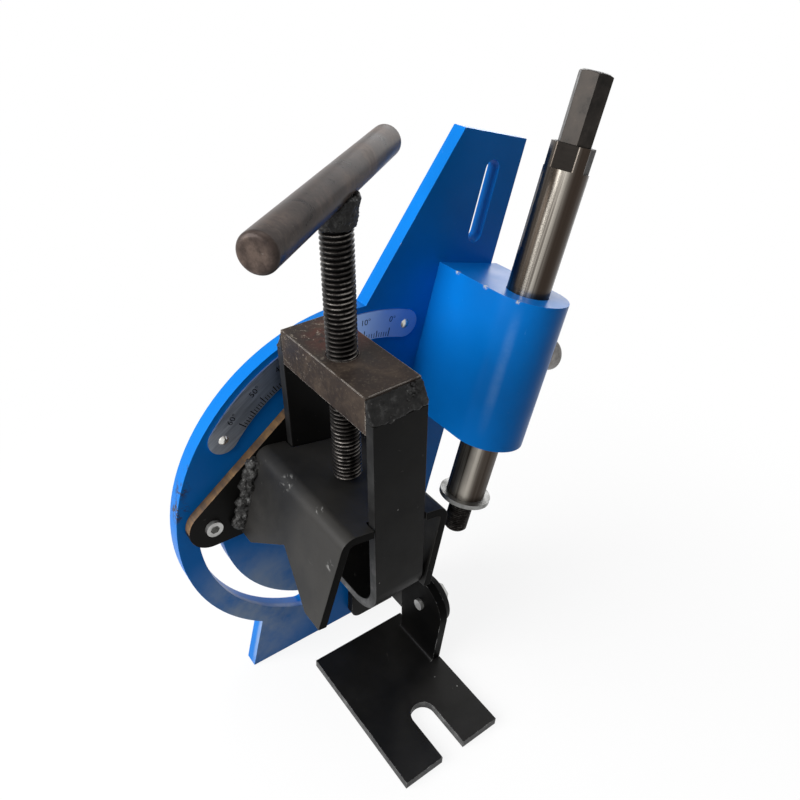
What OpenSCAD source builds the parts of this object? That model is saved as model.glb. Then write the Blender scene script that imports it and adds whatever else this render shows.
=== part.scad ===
// Bench tube notcher: a hole saw arbor runs in a bearing block on a swinging angle plate, and a
// screw clamp pulls the tube up into a vee saddle. The tube lies along X, the viewer stands at -Y
// and Z is up. The origin is the middle of the bench foot's underside.

/* [Bench foot] */
// Width of the foot along X
foot_w = 75; // [70:1:90]
// Depth of the foot along Y
foot_d = 107; // [95:1:120]
// Sheet thickness of the foot and its upright
foot_t = 6; // [5:0.5:7]
// Width of the open mounting slot
foot_slot_w = 17.5; // [12:0.5:22]
// Depth of the open mounting slot, from the front edge to its round end
foot_slot_d = 39; // [30:1:44]
// Inner radius of the bend between foot and upright
foot_bend = 3; // [2:0.5:5]
// Height of the swivel bolt above the bench
swivel_h = 48; // [44:1:52]
// Distance of the swivel bolt behind the foot's middle
swivel_y = 25; // [22:1:28]
// Radius of the upright's round top
upright_r = 22; // [18:0.5:24]
// Amount by which the upright narrows towards the foot on each side
upright_taper = 3; // [1:0.5:5]
// Shank diameter of the swivel bolt
swivel_bolt_d = 8; // [6:1:10]

/* [Pivot plate] */
// Height of the plate pivot above the bench
pivot_h = 138; // [132:1:150]
// Distance of the pivot to the right of the foot's middle
pivot_x = 10.5; // [8:0.5:12]
// Distance of the angle plate's front face behind the foot's middle
plate_y = 79; // [76:1:84]
// Thickness of the pivot plate
pivot_t = 6; // [5:0.5:8]
// Radius of the lobe round the lock stud
lobe_r = 14.5; // [13:0.5:15]
// Angle of the lock stud, seen from the front and counted from +X
lock_angle = 174; // [172:0.5:178]
// Slope of the pivot plate's long top edge
top_slope = 39; // [37:0.5:41]
// Gap between the index point and the scale
index_gap = 9; // [7:0.5:12]
// Distance from the pivot to the tail's right edge
tail_right = 33.1; // [33.1:0.5:36]
// Width of the tail that reaches down to the bench
tail_w = 37.5; // [30:0.5:45]
// Gap between the tail and the bench
tail_gap = 1; // [0.5:0.5:4]
// Fillet radius where the tail meets the arm
tail_fillet = 25; // [10:1:40]
// Corner radius at the foot of the tail
tail_round = 8; // [4:1:12]
// Thickness of the swivel lug
lug_t = 6; // [5:0.5:8]
// Radius of the swivel lug's round end
lug_r = 18; // [14:0.5:20]
// Height of the swivel lug's lower edge above the bench
lug_low = 13; // [9:1:18]
// Shank diameter of the pivot screw
pivot_d = 12; // [10:1:14]
// Shank diameter of the lock stud
lock_d = 10; // [8:1:12]

/* [Vee saddle] */
// Distance of the saddle's middle to the left of the pivot
saddle_left = 37.5; // [36:0.5:40]
// Distance between the centres of the two bends
saddle_span = 54; // [53:1:60]
// Sheet thickness of the saddle
saddle_t = 5; // [4:0.5:6]
// Inner radius of the saddle's bends
saddle_bend = 3; // [2:0.5:5]
// Outward flare of the left flange from square to the roof
saddle_flare = 7; // [0:0.5:10]
// Slope of the roof down to the right
saddle_tilt = 9; // [6:0.5:9.5]
// Height of the middle of the saddle's roof above the pivot
saddle_top = 51; // [49:0.5:54]
// Depth of the flanges' lower edges below the roof
saddle_depth = 56.5; // [52:0.5:60]
// Length of the saddle from the pivot plate to its front edge
saddle_len = 90.5; // [88:0.5:100]
// Depth of the vee notches in the flanges
vee_depth = 21; // [16:0.5:26]
// Width of the vee notches along Y at the flange's lower edge
vee_w = 62; // [50:1:66]
// Leg length of the fillet welds that hold the saddle
saddle_weld = 6; // [4:0.5:8]

/* [Yoke] */
// Distance from the angle plate's face to the plane of tube, arbor and screw
axis_off = 51.5; // [51:0.5:54]
// Outer width of the yoke along Y
yoke_w = 89; // [84:0.5:89.5]
// Thickness of the yoke's flat bar
strap_t = 6; // [4:0.5:7]
// Width of the yoke's flat bar along X
strap_w = 32; // [26:1:33]
// Sideways step of the bar and the nut block from the screw
strap_shift = 3; // [0:0.5:3]
// Lean of the loose yoke and its screw to the left
yoke_lean = 3; // [0:0.5:4]
// Outer radius of the yoke's two lower bends
yoke_bend = 23; // [16:1:30]
// Depth of the yoke's underside below the saddle's roof
yoke_drop = 71; // [68:0.5:76]
// Height of the leg tops above the saddle's roof
leg_top = 66.5; // [62:0.5:72]
// Height of the nut block
nut_h = 21; // [16:1:24]
// Amount by which the nut block stands above the leg tops
nut_rise = 13; // [8:1:14]
// Clearance between the legs and the saddle's notches
leg_play = 0.75; // [0.5:0.25:2]

/* [Clamp screw] */
// Distance of the screw to the left of the pivot
screw_left = 39.5; // [38:0.5:42]
// Major diameter of the screw
screw_d = 16; // [12:0.5:18]
// Height of the handle bar's axis above the saddle's roof
handle_h = 161.5; // [150:0.5:172]
// Diameter of the handle bar
handle_d = 16.5; // [16:0.5:22]
// Length of the handle bar
handle_len = 150; // [120:2:152]
// Turn of the handle bar from +X, seen from above
handle_turn = 37; // [0:0.5:90]
// Rounding of the handle bar's ends
handle_round = 2.5; // [1:0.5:4]
// Radius of the weld collar between screw and handle
collar_r = 11; // [10.5:0.5:13]

/* [Angle plate] */
// Thickness of the angle plate
plate_t = 10; // [8:0.5:12]
// Radius of the plate's round left side
plate_r = 122.5; // [121:0.5:126]
// Tilt of the angle plate from upright, as it stands
rest_tilt = 12.5; // [10:0.5:15]
// Height of the plate's top edge above the pivot
plate_top = 225.5; // [220:0.5:236]
// Length of the plate's top edge
plate_top_w = 51.5; // [50:0.5:56]
// Distance of the plate's straight right edge to the right of the pivot
plate_right = 74; // [72:0.5:76]
// Lean of the plate's slanted left edge
plate_slant = 22.4; // [21:0.2:24]
// Distance of the plate's leg to the left of the pivot
plate_leg = 52; // [44:1:60]
// Radius of the arc slot's middle line
slot_r = 103; // [101:0.5:104]
// Width of the arc slot
slot_w = 14; // [12:0.5:16]
// Angle at which the arc slot starts
slot_from = 186; // [183:0.5:186]
// Angle at which the arc slot ends
slot_to = 258; // [240:1:264]
// Height of the straight slot's lower end above the pivot
top_slot_low = 161; // [158:1:166]
// Length of the straight slot
top_slot_len = 50; // [40:1:54]
// Width of the straight slot
top_slot_w = 11; // [8:0.5:14]
// Distance of the straight slot to the right of the pivot
top_slot_u = 52; // [50:0.5:54]

/* [Degree scale] */
// Thickness of the scale strip
scale_t = 1; // [0.6:0.1:1.5]
// Width of the scale strip
scale_w = 18; // [14:0.5:18]
// Radius of the scale strip's middle line
scale_r = 109.5; // [108:0.5:111]
// Angle of the right rivet, right of the zero mark
rivet_right = 6; // [4:0.5:8]
// Angle of the left rivet, left of the zero mark
rivet_left = 66.4; // [64:0.2:67]
// Diameter of the rivet heads
rivet_head_d = 6; // [4:0.5:8]
// Shank diameter of the rivets
rivet_d = 3.2; // [2:0.2:4]

/* [Bearing block] */
// Distance of the arbor to the right of the pivot, along the plate
arbor_u = 53.5; // [51:0.5:56]
// Width of the bearing block
block_w = 50; // [46:1:52]
// Height of the block's underside above the pivot
block_low = 54; // [52:1:60]
// Height of the bearing block
block_h = 94; // [84:1:98]
// Outer diameter of the bushes
bush_d = 32; // [30:0.5:34]
// Length of each bush
bush_len = 30; // [20:1:36]
// Thickness of the lip above the upper bush
bush_lip = 4; // [3:0.5:6]
// Shank diameter of the bolts that hold the block
block_bolt_d = 10; // [8:1:12]
// Distance between the two block bolts
block_bolt_gap = 50; // [40:1:60]
// Depth of the block bolts in the block
block_bolt_in = 22; // [15:1:26]
// Cap diameter of the grease cup on the block's right side
cup_d = 21; // [16:0.5:24]
// Length by which the grease cup stands out of the block
cup_out = 15.5; // [12:0.5:20]
// Height of the grease cup above the block's underside
cup_up = 52; // [40:1:60]
// Stem diameter of the grease cup
cup_stem_d = 8; // [6:0.5:10]

/* [Arbor] */
// Diameter of the arbor
arbor_d = 25.4; // [22:0.2:26]
// Height of the arbor's lower end above the pivot
arbor_low = 8; // [4:0.5:12]
// Length of the ground arbor
arbor_len = 223; // [210:1:235]
// Length of the wrench flats at the arbor's top
flat_len = 13; // [8:1:20]
// Width across the wrench flats
flat_w = 22; // [19:0.5:23]
// Turn of the wrench flats about the arbor
flat_turn = 24; // [0:1:90]
// Width across the flats of the hexagon drive
hex_w = 17; // [12:0.1:18]
// Turn of the hexagon drive about the arbor
hex_turn = -13; // [-30:1:30]
// Length of the hexagon drive
hex_len = 36; // [28:1:42]
// Diameter of the saw stud
stud_d = 15.88; // [12:0.02:16]
// Length of the saw stud below its collar
stud_len = 22.5; // [18:0.5:25]
// Diameter of the stud's collar
stud_collar_d = 22; // [19:0.5:24]
// Thickness of the stud's collar
stud_collar_t = 3; // [2:0.5:4]
// Diameter of the thrust washer
washer_d = 34; // [28:0.5:36]
// Thickness of the thrust washer
washer_t = 3; // [2:0.5:3.5]

/* [Fits] */
// Radial clearance of turning and sliding pins in their bores
run_gap = 0.05; // [0.02:0.01:0.1]
// Gap between flat faces that slide on each other
face_gap = 0.2; // [0.1:0.05:0.4]
// Radial clearance of bolts in plain holes
bolt_gap = 0.25; // [0.15:0.05:0.4]
// Length by which screw ends stand out of their nuts and plates
end_out = 2.5; // [1:0.5:4]

/* [Hidden] */
$fn = 96;
far = 400;
cut = 1;
foot_bend_out = foot_bend + foot_t;
upright_in = foot_w / 2 - foot_t;
pivot_front = -face_gap - pivot_t;
pivot_face_y = plate_y + pivot_front;
lug_x = foot_w / 2 + face_gap;
lug_high = swivel_h + lug_r - 2;
lug_straight = swivel_y + upright_r;
lock_r = slot_r;
lock_x = lock_r * cos(lock_angle);
lock_z = lock_r * sin(lock_angle);
scale_in = scale_r - scale_w / 2;
index_r = scale_in - index_gap;
// Long top edge of the pivot plate: tangent to the lobe, up to the index radius
edge_x = lock_x - lobe_r * sin(top_slope);
edge_z = lock_z + lobe_r * cos(top_slope);
edge_mid = -(edge_x * cos(top_slope) + edge_z * sin(top_slope));
edge_off = edge_z * cos(top_slope) - edge_x * sin(top_slope);
edge_len = edge_mid + sqrt(index_r * index_r - edge_off * edge_off);
arm_low = lock_z - lobe_r;
tail_left = tail_right - tail_w;
tail_low = -pivot_h + tail_gap;
shoulder_z = 40;
saddle_bend_out = saddle_bend + saddle_t;
saddle_front = pivot_front - saddle_len;
roof_z = saddle_top + (screw_left - saddle_left) * tan(saddle_tilt);
strap_x = strap_shift - strap_w / 2;
nut_low = leg_top + nut_rise - nut_h;
nut_len = yoke_w - 2 * strap_t;
screw_r = screw_d / 2 - run_gap;
screw_tip_r = 0.6 * screw_r;
screw_tip = face_gap + screw_tip_r * tan(saddle_tilt + yoke_lean);
screw_tip_h = 3;
screw_seat = 6;
handle_low = handle_h - handle_d / 2;
collar_h = 9;
block_nose = block_w / 2;
block_high = block_low + block_h;
block_mid = block_low + block_h / 2;
arbor_r = arbor_d / 2;
arbor_high = arbor_low + arbor_len;
washer_high = arbor_low - run_gap;
stud_top = arbor_low - washer_t - 2 * run_gap;
stud_tenon = 22;
hex_tenon_d = 9;
hex_tenon = 16;
hex_chamfer = 1.2;
rivet_dome = 1.4;
rivet_in = 5;
cup_seat = 1.2;
cup_collar_r = 7;
cup_stem_in = 4;
washer_thick = 2;
m8_head_w = 13;
m8_head_h = 5.5;
m10_head_w = 16;
m10_head_h = 7;
m12_nut_w = 18;
m12_nut_h = 10;
socket_w = 5;
socket_depth = 4;

blue = [0.02, 0.36, 0.80];
black = [0.10, 0.10, 0.11];
brown_black = [0.19, 0.16, 0.15];
zinc = [0.72, 0.73, 0.72];
steel = [0.66, 0.65, 0.62];
bronze = [0.62, 0.45, 0.22];

// Places a child given in clamp coordinates: origin at the pivot, on the angle plate's front face
module at_pivot() {
  translate([pivot_x, plate_y, pivot_h]) children();
}

// Places a child given in plate coordinates: x across, z along the tilted angle plate
module at_plate() {
  at_pivot() rotate([0, rest_tilt, 0]) children();
}

// Places a child along the arbor's axis, z being the height above the pivot
module at_arbor() {
  at_plate() translate([arbor_u, -axis_off, 0]) children();
}

// Places a child in saddle coordinates: origin in the middle of the sloping roof's top
module at_saddle() {
  at_pivot() translate([-saddle_left, 0, saddle_top]) rotate([0, saddle_tilt, 0]) children();
}

// Places a child along the clamp screw's axis, z being the height above the saddle's roof
module at_screw() {
  at_pivot() translate([-screw_left, -axis_off, roof_z]) rotate([0, -yoke_lean, 0]) children();
}

// Extrudes each front-view outline given as a child backwards from y to y + t, and joins them
module front_plate(y, t) {
  translate([0, y + t, 0]) rotate([90, 0, 0])
    for (i = [0 : $children - 1]) linear_extrude(t) children(i);
}

// Extrudes a side-view outline (y, z) to the right from x to x + t
module side_plate(x, t) {
  translate([x, 0, 0]) rotate([90, 0, 90]) linear_extrude(t) children();
}

// Cylinder along Y from y to y + len
module pin_y(r, y, len) {
  translate([0, y + len, 0]) rotate([90, 0, 0]) cylinder(r = r, h = len);
}

// Cylinder along X from x to x + len
module pin_x(r, x, len) {
  translate([x, 0, 0]) rotate([0, 90, 0]) cylinder(r = r, h = len);
}

// Hexagon along Y from y to y + len
module hex_y(w, y, len) {
  translate([0, y + len, 0]) rotate([90, 0, 0]) cylinder(d = w / cos(30), h = len, $fn = 6);
}

// Hexagon along X from x to x + len
module hex_x(w, x, len) {
  translate([x, 0, 0]) rotate([0, 90, 0]) cylinder(d = w / cos(30), h = len, $fn = 6);
}

// Sector of a ring between two angles less than 180 degrees apart
module ring_sector(r_in, r_out, a0, a1) {
  reach = 2 * r_out / cos((a1 - a0) / 2);
  am = (a0 + a1) / 2;
  intersection() {
    difference() {
      circle(r = r_out);
      circle(r = r_in);
    }
    polygon([[0, 0], reach * [cos(a0), sin(a0)], reach * [cos(am), sin(am)], reach * [cos(a1), sin(a1)]]);
  }
}

// Curved slot of constant width with round ends
module arc_band(r, w, a0, a1) {
  ring_sector(r - w / 2, r + w / 2, a0, a1);
  for (a = [a0, a1]) translate(r * [cos(a), sin(a)]) circle(d = w);
}

// Bent bench foot: base sheet with an open slot and a round-topped upright at its right edge
module bench_foot() {
  base_low = swivel_y - upright_r + upright_taper;
  base_len = 2 * (upright_r - upright_taper);
  color(black) {
    difference() {
      translate([-foot_w / 2, -foot_d / 2, 0]) cube([foot_w, foot_d, foot_t]);
      translate([0, -foot_d / 2 + foot_slot_d - foot_slot_w / 2, -cut])
        cylinder(d = foot_slot_w, h = foot_t + 2 * cut);
      translate([-foot_slot_w / 2, -foot_d / 2 - cut, -cut])
        cube([foot_slot_w, foot_slot_d - foot_slot_w / 2 + cut, foot_t + 2 * cut]);
      translate([foot_w / 2 - foot_bend_out, base_low, -cut])
        cube([foot_bend_out + cut, base_len, foot_t + 2 * cut]);
    }
    translate([foot_w / 2 - foot_bend_out, base_low + base_len, foot_bend_out])
      rotate([90, 0, 0]) linear_extrude(base_len) ring_sector(foot_bend, foot_bend_out, -90, 0);
    difference() {
      side_plate(upright_in, foot_t) upright_outline(base_low, base_len);
      translate([0, swivel_y, swivel_h]) pin_x(swivel_bolt_d / 2, upright_in - cut, foot_t + 2 * cut);
    }
  }
}

// Side outline of the upright: tapered sides that run into the round top
module upright_outline(base_low, base_len) {
  translate([swivel_y, swivel_h]) circle(r = upright_r);
  polygon([[base_low, foot_bend_out], [base_low + base_len, foot_bend_out],
    [swivel_y + upright_r, swivel_h], [swivel_y - upright_r, swivel_h]]);
}

// Swivel bolt, screwed through the upright from the lug's side
module swivel_bolt() {
  head_x = lug_x + lug_t + run_gap + washer_thick;
  shank_x = upright_in - end_out;
  color(zinc) translate([0, swivel_y, swivel_h]) {
    pin_x(swivel_bolt_d / 2, shank_x, head_x - shank_x);
    hex_x(m8_head_w, head_x, m8_head_h);
  }
}

module swivel_washer() {
  x = lug_x + lug_t + run_gap;
  color(zinc) translate([0, swivel_y, swivel_h]) difference() {
    pin_x(m8_head_w / 2 + 2, x, washer_thick);
    pin_x(swivel_bolt_d / 2 + bolt_gap, x - cut, washer_thick + 2 * cut);
  }
}

// Lug on the pivot plate's tail that turns on the swivel bolt
module swivel_lug() {
  color(black) difference() {
    side_plate(lug_x, lug_t) {
      translate([swivel_y, swivel_h]) circle(r = lug_r);
      polygon([[pivot_face_y, lug_low], [pivot_face_y, lug_high], [swivel_y, swivel_h + lug_r],
        [swivel_y, swivel_h - lug_r], [lug_straight, lug_low]]);
    }
    translate([0, swivel_y, swivel_h])
      pin_x(swivel_bolt_d / 2 + run_gap, lug_x - cut, lug_t + 2 * cut);
  }
}

// Arm of the pivot plate: long sloping edge, index point at the zero mark and right shoulder
module arm_outline() {
  edge_end = [edge_x + edge_len * cos(top_slope), edge_z + edge_len * sin(top_slope)];
  polygon([[lock_x, arm_low], [lock_x, lock_z], [edge_x, edge_z], edge_end,
    index_r * [sin(rest_tilt), cos(rest_tilt)],
    [tail_right, shoulder_z], [tail_right, arm_low]]);
}

// Tail of the pivot plate, rounded at its lower left corner
module tail_outline() {
  difference() {
    translate([tail_left, tail_low]) square([tail_w, -tail_low]);
    difference() {
      translate([tail_left - cut, tail_low - cut]) square(tail_round + cut);
      translate([tail_left + tail_round, tail_low + tail_round]) circle(r = tail_round);
    }
  }
}

// Fillet between the arm's lower edge and the tail
module fillet_outline() {
  difference() {
    translate([tail_left - tail_fillet, arm_low - tail_fillet]) square(tail_fillet + cut);
    translate([tail_left - tail_fillet, arm_low - tail_fillet]) circle(r = tail_fillet);
  }
}

// Pivot plate: lobe round the lock stud, arm with the index point and tail down to the bench
module pivot_plate() {
  color(black) at_pivot() difference() {
    front_plate(pivot_front, pivot_t) {
      arm_outline();
      translate([lock_x, lock_z]) circle(r = lobe_r);
      tail_outline();
      fillet_outline();
    }
    translate([0, pivot_front + pivot_t, 0]) rotate([90, 0, 0])
      cylinder(r1 = pivot_d / 2 + bolt_gap, r2 = pivot_d / 2 + bolt_gap + pivot_t, h = pivot_t);
    translate([lock_x, 0, lock_z]) pin_y(lock_d / 2, pivot_front - cut, pivot_t + 2 * cut);
  }
}

// Countersunk pivot screw, flush with the pivot plate and nutted behind the angle plate
module pivot_screw() {
  nut_y = plate_t + face_gap + washer_thick;
  color(zinc) at_pivot() {
    translate([0, pivot_front + pivot_t, 0]) rotate([90, 0, 0])
      cylinder(r1 = pivot_d / 2, r2 = pivot_d / 2 + pivot_t, h = pivot_t);
    pin_y(pivot_d / 2, -face_gap, face_gap + nut_y + m12_nut_h + end_out);
  }
}

module pivot_washer() {
  color(zinc) at_pivot() difference() {
    pin_y(pivot_d, plate_t + face_gap, washer_thick);
    pin_y(pivot_d / 2 + bolt_gap, plate_t + face_gap - cut, washer_thick + 2 * cut);
  }
}

module pivot_nut() {
  nut_y = plate_t + face_gap + washer_thick;
  color(zinc) at_pivot() difference() {
    hex_y(m12_nut_w, nut_y, m12_nut_h);
    pin_y(pivot_d / 2, nut_y - cut, m12_nut_h + 2 * cut);
  }
}

// Lock stud with a hexagon socket, screwed through the lobe and guided by the arc slot
module lock_stud() {
  front_y = pivot_front - end_out;
  nut_y = plate_t + face_gap + washer_thick;
  color(zinc) at_pivot() translate([lock_x, 0, lock_z]) difference() {
    pin_y(lock_d / 2, front_y, nut_y + m10_head_h + end_out - front_y);
    hex_y(socket_w, front_y - cut, socket_depth + cut);
  }
}

module lock_washer() {
  color(zinc) at_pivot() translate([lock_x, 0, lock_z]) difference() {
    pin_y(lock_d + 2, plate_t + face_gap, washer_thick);
    pin_y(lock_d / 2 + bolt_gap, plate_t + face_gap - cut, washer_thick + 2 * cut);
  }
}

module lock_nut() {
  nut_y = plate_t + face_gap + washer_thick;
  color(zinc) at_pivot() translate([lock_x, 0, lock_z]) difference() {
    hex_y(m10_head_w, nut_y, m10_head_h);
    pin_y(lock_d / 2, nut_y - cut, m10_head_h + 2 * cut);
  }
}

// Straight-sided outline of the channel at radius r about the bends, down to the depth low
module saddle_walls(r, low) {
  x = saddle_span / 2;
  left_x = -x - r * cos(saddle_flare);
  left_z = -saddle_bend_out + r * sin(saddle_flare);
  low_x = left_x - (left_z + low) * tan(saddle_flare);
  polygon([[low_x, -low], [left_x, left_z], [-x, -saddle_bend_out], [-x, r - saddle_bend_out],
    [x, r - saddle_bend_out], [x, -saddle_bend_out], [x + r, -saddle_bend_out], [x + r, -low]]);
}

// Solid channel of bend radius r, from y to y + len and down to the depth low
module saddle_solid(r, low, y, len) {
  front_plate(y, len) {
    saddle_walls(r, low);
    translate([-saddle_span / 2, -saddle_bend_out]) circle(r = r);
    translate([saddle_span / 2, -saddle_bend_out]) circle(r = r);
  }
}

// Bent channel with an inverted vee in each flange and notches for the yoke's legs
module v_saddle() {
  notch_x = strap_x - leg_play;
  notch_w = strap_w + 2 * leg_play;
  notch_y = yoke_w / 2 - strap_t - leg_play;
  color(black) difference() {
    at_saddle() saddle_solid(saddle_bend_out, saddle_depth, saddle_front, saddle_len);
    at_saddle() saddle_solid(saddle_bend, saddle_depth + cut, saddle_front - cut, saddle_len + 2 * cut);
    at_saddle() side_plate(-far, 2 * far) translate([-axis_off, -saddle_depth])
      polygon([[-vee_w / 2, 0], [vee_w / 2, 0], [0, vee_depth]]);
    at_screw() for (side = [0, 1]) mirror([0, side, 0])
      translate([notch_x, notch_y, -2 * saddle_bend_out]) cube([notch_w, far, 3 * saddle_bend_out]);
  }
}

// Fillet welds between the flanges' outer faces and the pivot plate
module saddle_welds() {
  color(black) at_saddle() translate([0, pivot_front, -saddle_bend_out]) {
    translate([-saddle_span / 2, 0, 0]) rotate([0, saddle_flare, 0]) saddle_weld_left();
    translate([saddle_span / 2, 0, 0]) mirror([1, 0, 0]) saddle_weld_left();
  }
}

module saddle_weld_left() {
  inset = 4;
  low = saddle_depth - saddle_bend_out - inset;
  translate([-saddle_bend_out, 0, -low]) linear_extrude(low)
    polygon([[0, 0], [-saddle_weld, 0], [0, -saddle_weld]]);
}

// Side profile of the yoke's bent flat bar, about the screw
module yoke_profile() {
  bend_in = yoke_bend - strap_t;
  bend_z = -yoke_drop + yoke_bend;
  for (side = [0, 1]) mirror([side, 0]) {
    translate([-yoke_w / 2, bend_z]) square([strap_t, leg_top - bend_z]);
    translate([-yoke_w / 2 + yoke_bend, bend_z]) ring_sector(bend_in, yoke_bend, 180, 270);
  }
  translate([-yoke_w / 2 + yoke_bend, -yoke_drop]) square([yoke_w - 2 * yoke_bend, strap_t]);
}

module yoke_strap() {
  color(black) at_screw() side_plate(strap_x, strap_w) yoke_profile();
}

// Thick bar between the leg tops, tapped for the clamp screw
module yoke_nut_block() {
  color(brown_black) at_screw() difference() {
    translate([strap_x, -nut_len / 2, nut_low]) cube([strap_w, nut_len, nut_h]);
    translate([0, 0, nut_low - cut]) cylinder(d = screw_d, h = nut_h + 2 * cut);
  }
}

// Fillet welds on the leg tops, against the ends of the nut block
module yoke_welds() {
  toe = 1.5;
  color(brown_black) at_screw() for (side = [0, 1]) mirror([0, side, 0])
    side_plate(strap_x, strap_w) translate([-yoke_w / 2, leg_top])
      polygon([[0, 0], [strap_t, 0], [strap_t, nut_rise - toe], [0, toe]]);
}

// Clamp screw with a bevelled tip that stands on the saddle's roof
module clamp_screw() {
  color(black) at_screw() rotate_extrude()
    polygon([[0, screw_tip], [screw_tip_r, screw_tip], [screw_r, screw_tip + screw_tip_h],
      [screw_r, handle_low + screw_seat], [0, handle_low + screw_seat]]);
}

// Bar outline turned about the handle's axis, with rounded ends
module handle_bar() {
  half = handle_len / 2;
  r = handle_d / 2;
  translate([0, 0, handle_h]) rotate([0, 90, handle_turn]) rotate_extrude() {
    translate([0, -half + handle_round]) square([r, handle_len - 2 * handle_round]);
    translate([0, -half]) square([r - handle_round, handle_len]);
    for (end = [-1, 1]) intersection() {
      translate([r - handle_round, end * (half - handle_round)]) circle(r = handle_round);
      translate([0, -half]) square([r, handle_len]);
    }
  }
}

module t_handle() {
  color(brown_black) at_screw() difference() {
    handle_bar();
    translate([0, 0, handle_low - cut]) cylinder(d = screw_d, h = screw_seat + cut);
  }
}

// Weld collar that fills the corner between the screw and the handle bar
module handle_weld() {
  color(brown_black) at_screw() difference() {
    translate([0, 0, handle_low - collar_h])
      cylinder(r1 = screw_d / 2 + 0.5, r2 = collar_r, h = collar_h + handle_d / 4);
    translate([0, 0, handle_h]) rotate([0, 90, handle_turn])
      cylinder(d = handle_d, h = handle_len, center = true);
    translate([0, 0, handle_low - collar_h - cut]) cylinder(r = screw_r, h = collar_h + handle_d + cut);
  }
}

// Front outline of the angle plate: round left side, mast with a slanted edge, leg cut at the bench
module plate_outline() {
  difference() {
    union() {
      intersection() {
        circle(r = plate_r);
        translate([plate_right - far, -far]) square([far, 2 * far]);
      }
      polygon([[plate_right, 0], [plate_right, plate_top], [plate_right - plate_top_w, plate_top],
        [plate_right - plate_top_w - plate_top * tan(plate_slant), 0]]);
      translate([-plate_leg, -far]) square([plate_leg + plate_right, far]);
    }
    rotate(rest_tilt) translate([-far, -pivot_h - far]) square([2 * far, far]);
  }
}

module angle_plate() {
  color(blue) at_plate() difference() {
    front_plate(0, plate_t) difference() {
      plate_outline();
      arc_band(slot_r, slot_w, slot_from, slot_to);
      translate([top_slot_u - top_slot_w / 2, top_slot_low + top_slot_w / 2])
        square([top_slot_w, top_slot_len - top_slot_w]);
      for (end = [top_slot_w / 2, top_slot_len - top_slot_w / 2])
        translate([top_slot_u, top_slot_low + end]) circle(d = top_slot_w);
    }
    pin_y(pivot_d / 2 + run_gap, -cut, plate_t + 2 * cut);
    block_bolt_places() pin_y(block_bolt_d / 2 + bolt_gap, -cut, plate_t + 2 * cut);
    rivet_places() pin_y(rivet_d / 2, -cut, rivet_in + cut);
  }
}

// Repeats a child at the two rivets, in plate coordinates
module rivet_places() {
  for (a = [90 - rivet_right, 90 + rivet_left])
    translate([scale_r * cos(a), 0, scale_r * sin(a)]) children();
}

// Repeats a child at the two block bolts, in plate coordinates
module block_bolt_places() {
  for (side = [-1, 1]) translate([arbor_u, 0, block_mid + side * block_bolt_gap / 2]) children();
}

module angle_scale() {
  color(zinc) at_plate() difference() {
    front_plate(-scale_t, scale_t) arc_band(scale_r, scale_w, 90 - rivet_right, 90 + rivet_left);
    rivet_places() pin_y(rivet_d / 2, -scale_t - cut, scale_t + 2 * cut);
  }
}

// Dome-headed rivets that hold the scale
module scale_rivets() {
  dome_r = (rivet_head_d * rivet_head_d / 4 + rivet_dome * rivet_dome) / (2 * rivet_dome);
  color(steel) at_plate() rivet_places() {
    pin_y(rivet_d / 2, -scale_t, scale_t + rivet_in);
    translate([0, -scale_t, 0]) rotate([90, 0, 0]) rotate_extrude() intersection() {
      translate([0, rivet_dome - dome_r]) circle(r = dome_r);
      square([rivet_head_d, rivet_dome]);
    }
  }
}

// Bullet-shaped bearing block: flat back on the plate, round nose about the arbor
module bearing_block() {
  color(blue) difference() {
    at_arbor() translate([0, 0, block_low]) linear_extrude(block_h) {
      circle(r = block_nose);
      translate([-block_nose, 0]) square([block_w, axis_off]);
    }
    at_arbor() {
      translate([0, 0, block_low - cut]) cylinder(d = bush_d, h = block_h - bush_lip + cut);
      cylinder(r = arbor_r + bolt_gap, h = block_high + cut);
    }
    at_plate() {
      block_bolt_places() pin_y(block_bolt_d / 2, -block_bolt_in - end_out, block_bolt_in + end_out + cut);
      cup_place() pin_x(cup_stem_d / 2, -block_nose, block_nose + cut);
      cup_place() pin_x(cup_collar_r, -cup_seat, cup_seat + cut);
    }
  }
}

// Point on the block's right side where the grease cup sits, in plate coordinates
module cup_place() {
  translate([arbor_u + block_nose, -axis_off, block_low + cup_up]) children();
}

// Bush of the given height of its lower end above the pivot
module bush(low) {
  color(bronze) at_arbor() translate([0, 0, low]) difference() {
    cylinder(d = bush_d, h = bush_len);
    translate([0, 0, -cut]) cylinder(r = arbor_r + run_gap, h = bush_len + 2 * cut);
  }
}

module upper_bush() {
  bush(block_high - bush_lip - bush_len);
}

module lower_bush() {
  bush(block_low);
}

// Bolts that hold the block from behind the plate
module block_bolts() {
  color(zinc) at_plate() block_bolt_places() {
    pin_y(block_bolt_d / 2, -block_bolt_in, block_bolt_in + plate_t + washer_thick);
    hex_y(m10_head_w, plate_t + washer_thick, m10_head_h);
  }
}

module block_washers() {
  color(zinc) at_plate() block_bolt_places() difference() {
    pin_y(block_bolt_d + 1, plate_t, washer_thick);
    pin_y(block_bolt_d / 2 + bolt_gap, plate_t - cut, washer_thick + 2 * cut);
  }
}

// Grease cup: stem in the block's port, collar on a spot face and a round-edged screw cap
module grease_cup() {
  r = cup_d / 2;
  cap_low = 3;
  edge = 2;
  color(steel) at_plate() cup_place() {
    pin_x(cup_stem_d / 2, -cup_seat - cup_stem_in, cup_stem_in);
    pin_x(cup_collar_r, -cup_seat, cup_seat + cap_low);
    rotate([0, 90, 0]) rotate_extrude() {
      translate([0, cap_low]) square([r, cup_out - cap_low - edge]);
      translate([0, cap_low]) square([r - edge, cup_out - cap_low]);
      intersection() {
        translate([r - edge, cup_out - edge]) circle(r = edge);
        translate([0, cap_low]) square([r, cup_out - cap_low]);
      }
    }
  }
}

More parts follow.
